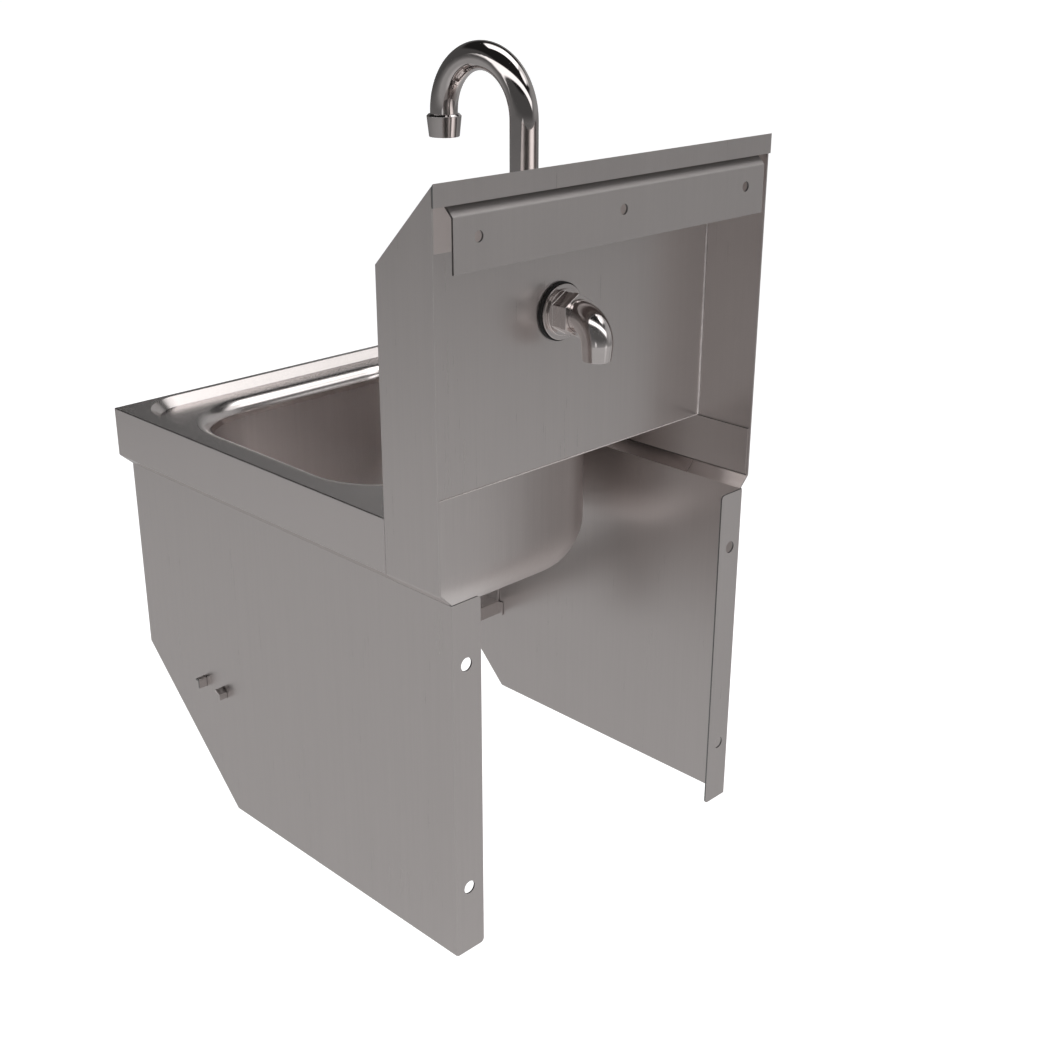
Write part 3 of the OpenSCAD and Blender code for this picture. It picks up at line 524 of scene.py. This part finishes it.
for cast_node in ("escutcheon", "faucet_body", "bonnet_nut", "spout_pipe", "spout_spigot", "outlet_shell",
                  "aerator_insert", "drain_strainer_cup", "drain_locknut", "tailpiece", "slip_nut",
                  "strainer_basket", "faucet_gasket", "rear_rubber_washer", "elbow_seal", "spigot_seals",
                  "outlet_washer", "drain_rubber_washer", "drain_card_washer", "slip_washer"):
    fine_casting(cast_node + "_piece", cast_node)


# Camera

def direction(azimuth, elevation):
    """Unit vector from the object: azimuth 0 to the front, 90 to the right, elevation upward."""
    a = math.radians(azimuth)
    e = math.radians(elevation)
    return Vector((math.sin(a) * math.cos(e), -math.cos(a) * math.cos(e), math.sin(e)))


CAMERA_PLACE = Vector((0.6817, 0.5990, 0.50625))
CAMERA_AZIMUTH = 134.95
CAMERA_ELEVATION = 22.11
CAMERA_ROLL = 0.14
CAMERA_LENS = 50.33
CAMERA_SENSOR = 36
CAMERA_REACH = 60
back = direction(CAMERA_AZIMUTH, CAMERA_ELEVATION)
right = Vector((0, 0, 1)).cross(back).normalized()
turn = math.radians(CAMERA_ROLL)
up = back.cross(right)
right, up = right * math.cos(turn) + up * math.sin(turn), up * math.cos(turn) - right * math.sin(turn)
camera_data = bpy.data.cameras.new("photo_camera")
camera_data.lens = CAMERA_LENS
camera_data.sensor_width = CAMERA_SENSOR
camera_data.clip_end = CAMERA_REACH
camera = linked("photo_camera", camera_data)
camera.matrix_world = Matrix.Translation(CAMERA_PLACE) @ Matrix((right, up, back)).transposed().to_4x4()
bpy.context.scene.camera = camera


# Studio

# What the metal mirrors. A patch is its azimuth and elevation, the radius in degrees that it fills and
# the one at which it ends, and its level
ROOM_LEVEL = 0.1
CEILING_LEVEL = 0.02
LEFT_WALL = (-92, 0, 28, 70, 0.4)
GROUND_PATCHES = [(-113, -30, 3, 12, 0.33), (-160, -17, 4, 11, 0.75), (125, -8, 3, 7, 0.9)]
PALE_SCREEN = (-115, 46, 9, 20, 1.15)
ROUND_LAMP = (-138, 48, 7, 12, 2.0)
STRIP_LEVEL = 2.0
STRIP_FILLS = 5
STRIP_ENDS = 8
BOX_LEVEL = 2.5
BOX_FRONT_LEVEL = 1.1
# Light on everything else
PLAIN_LEVEL = 0.55
WHITE_LEVEL = 1.0


def studio_world():
    """Plain grey light, white for the camera, and for metal the room that it mirrors."""
    world = bpy.data.worlds.new("studio")
    world.use_nodes = True
    bpy.context.scene.world = world
    net = Net(world.node_tree)
    ray = net.add("ShaderNodeTexCoord", output="Generated")
    height = net.upward(ray)

    def lay(under, mask, level):
        """Lays a level over the room where the mask is 1."""
        return net.weigh(mask, under, level)

    def lay_patch(under, azimuth, elevation, fills, ends, level):
        """Lays a round patch over the room."""
        facing = net.toward(ray, direction(azimuth, elevation))
        return lay(under, facing.ease(math.cos(math.radians(ends)), math.cos(math.radians(fills))), level)

    # Walls, ceiling and ground
    room = lay_patch(ROOM_LEVEL, *LEFT_WALL)
    room = lay(room, height.ease(0.42, 0.55), CEILING_LEVEL)
    ground = height.ease(-0.14, -0.38, 0.22, 0.44) + height.ease(-0.6, -0.8, 0.0, 0.22)
    room = lay(room, height.ease(0.08, -0.2), ground)
    for patch in GROUND_PATCHES + [PALE_SCREEN]:
        room = lay_patch(room, *patch)
    # Strip light on a slanted arc behind and to the right
    first = direction(45, 0)
    middle = direction(125, 45)
    across = first.cross(middle).normalized()
    strip = net.toward(ray, across).size().ease(math.sin(math.radians(STRIP_ENDS)),
                                                math.sin(math.radians(STRIP_FILLS)))
    strip = strip * net.toward(ray, middle).ease(0.1, 0.3)
    room = lay(room, strip, STRIP_LEVEL)
    room = lay_patch(room, *ROUND_LAMP)
    # Ceiling softbox, laid out on a level plane and dimmer towards the front
    lifted = height.most(0.05)
    far = net.toward(ray, direction(-60, 0)) / lifted
    wide = net.toward(ray, direction(30, 0)) / lifted
    box = far.ease(0.05, 0.12) * far.ease(0.84, 0.66) * wide.size().ease(0.6, 0.5) * height.ease(0.3, 0.4)
    front = wide.ease(-0.05, 0.2) * far.ease(0.52, 0.66)
    room = lay(room, box, net.weigh(front, BOX_LEVEL, BOX_FRONT_LEVEL))
    # What each kind of ray sees
    seen = net.add("ShaderNodeLightPath", output="Is Camera Ray")
    mirrored = net.add("ShaderNodeLightPath", output="Is Glossy Ray").most(
        net.add("ShaderNodeLightPath", output="Is Transmission Ray"))
    strength = net.weigh(seen, net.weigh(mirrored, PLAIN_LEVEL, room), WHITE_LEVEL)
    sky = net.add("ShaderNodeBackground", inputs={"Color": (1, 1, 1, 1), "Strength": strength})
    net.add("ShaderNodeOutputWorld", inputs={"Surface": sky})
    world.cycles.sampling_method = "NONE"


LAMP_AIM = Vector((0, -0.15, 0.1))
FLOOR_HEIGHT = -0.69
FLOOR_RADIUS = 40


def lamp(name, azimuth, elevation, distance, width, watts):
    """Round area light that looks at the middle of the sink."""
    data = bpy.data.lights.new(name, "AREA")
    data.shape = "DISK"
    data.size = width
    data.energy = watts
    lamp_object = linked(name, data)
    away = direction(azimuth, elevation)
    lamp_object.matrix_world = (Matrix.Translation(LAMP_AIM + away * distance)
                                @ away.to_track_quat("Z", "Y").to_matrix().to_4x4())
    lamp_object.visible_glossy = False


def pale_floor():
    """Wide floor below the sink, at the height that it hangs over one, white for the camera."""
    bm = bmesh.new()
    bmesh.ops.create_circle(bm, cap_ends=True, segments=96, radius=FLOOR_RADIUS,
                            matrix=Matrix.Translation((0, 0, FLOOR_HEIGHT)))
    material, net = finish_of("pale_floor")
    seen = net.add("ShaderNodeLightPath", output="Is Camera Ray")
    speck = net.noise(net.place(), 30, 3)
    colour = net.blend(speck, rgb(0.78), rgb(0.84))
    surface(net, colour, 0.9, emission_color=net.blend(seen, rgb(0.0), rgb(0.6)), emission_strength=1.0)
    floor = linked("pale_floor", made_mesh("pale_floor", bm, material, smooth=False))
    floor.visible_glossy = False


studio_world()
pale_floor()
lamp("softbox", azimuth=-60, elevation=62, distance=2.2, width=1.4, watts=26)
lamp("strip", azimuth=120, elevation=40, distance=2.4, width=0.8, watts=12)
bpy.context.scene.view_settings.view_transform = "Standard"
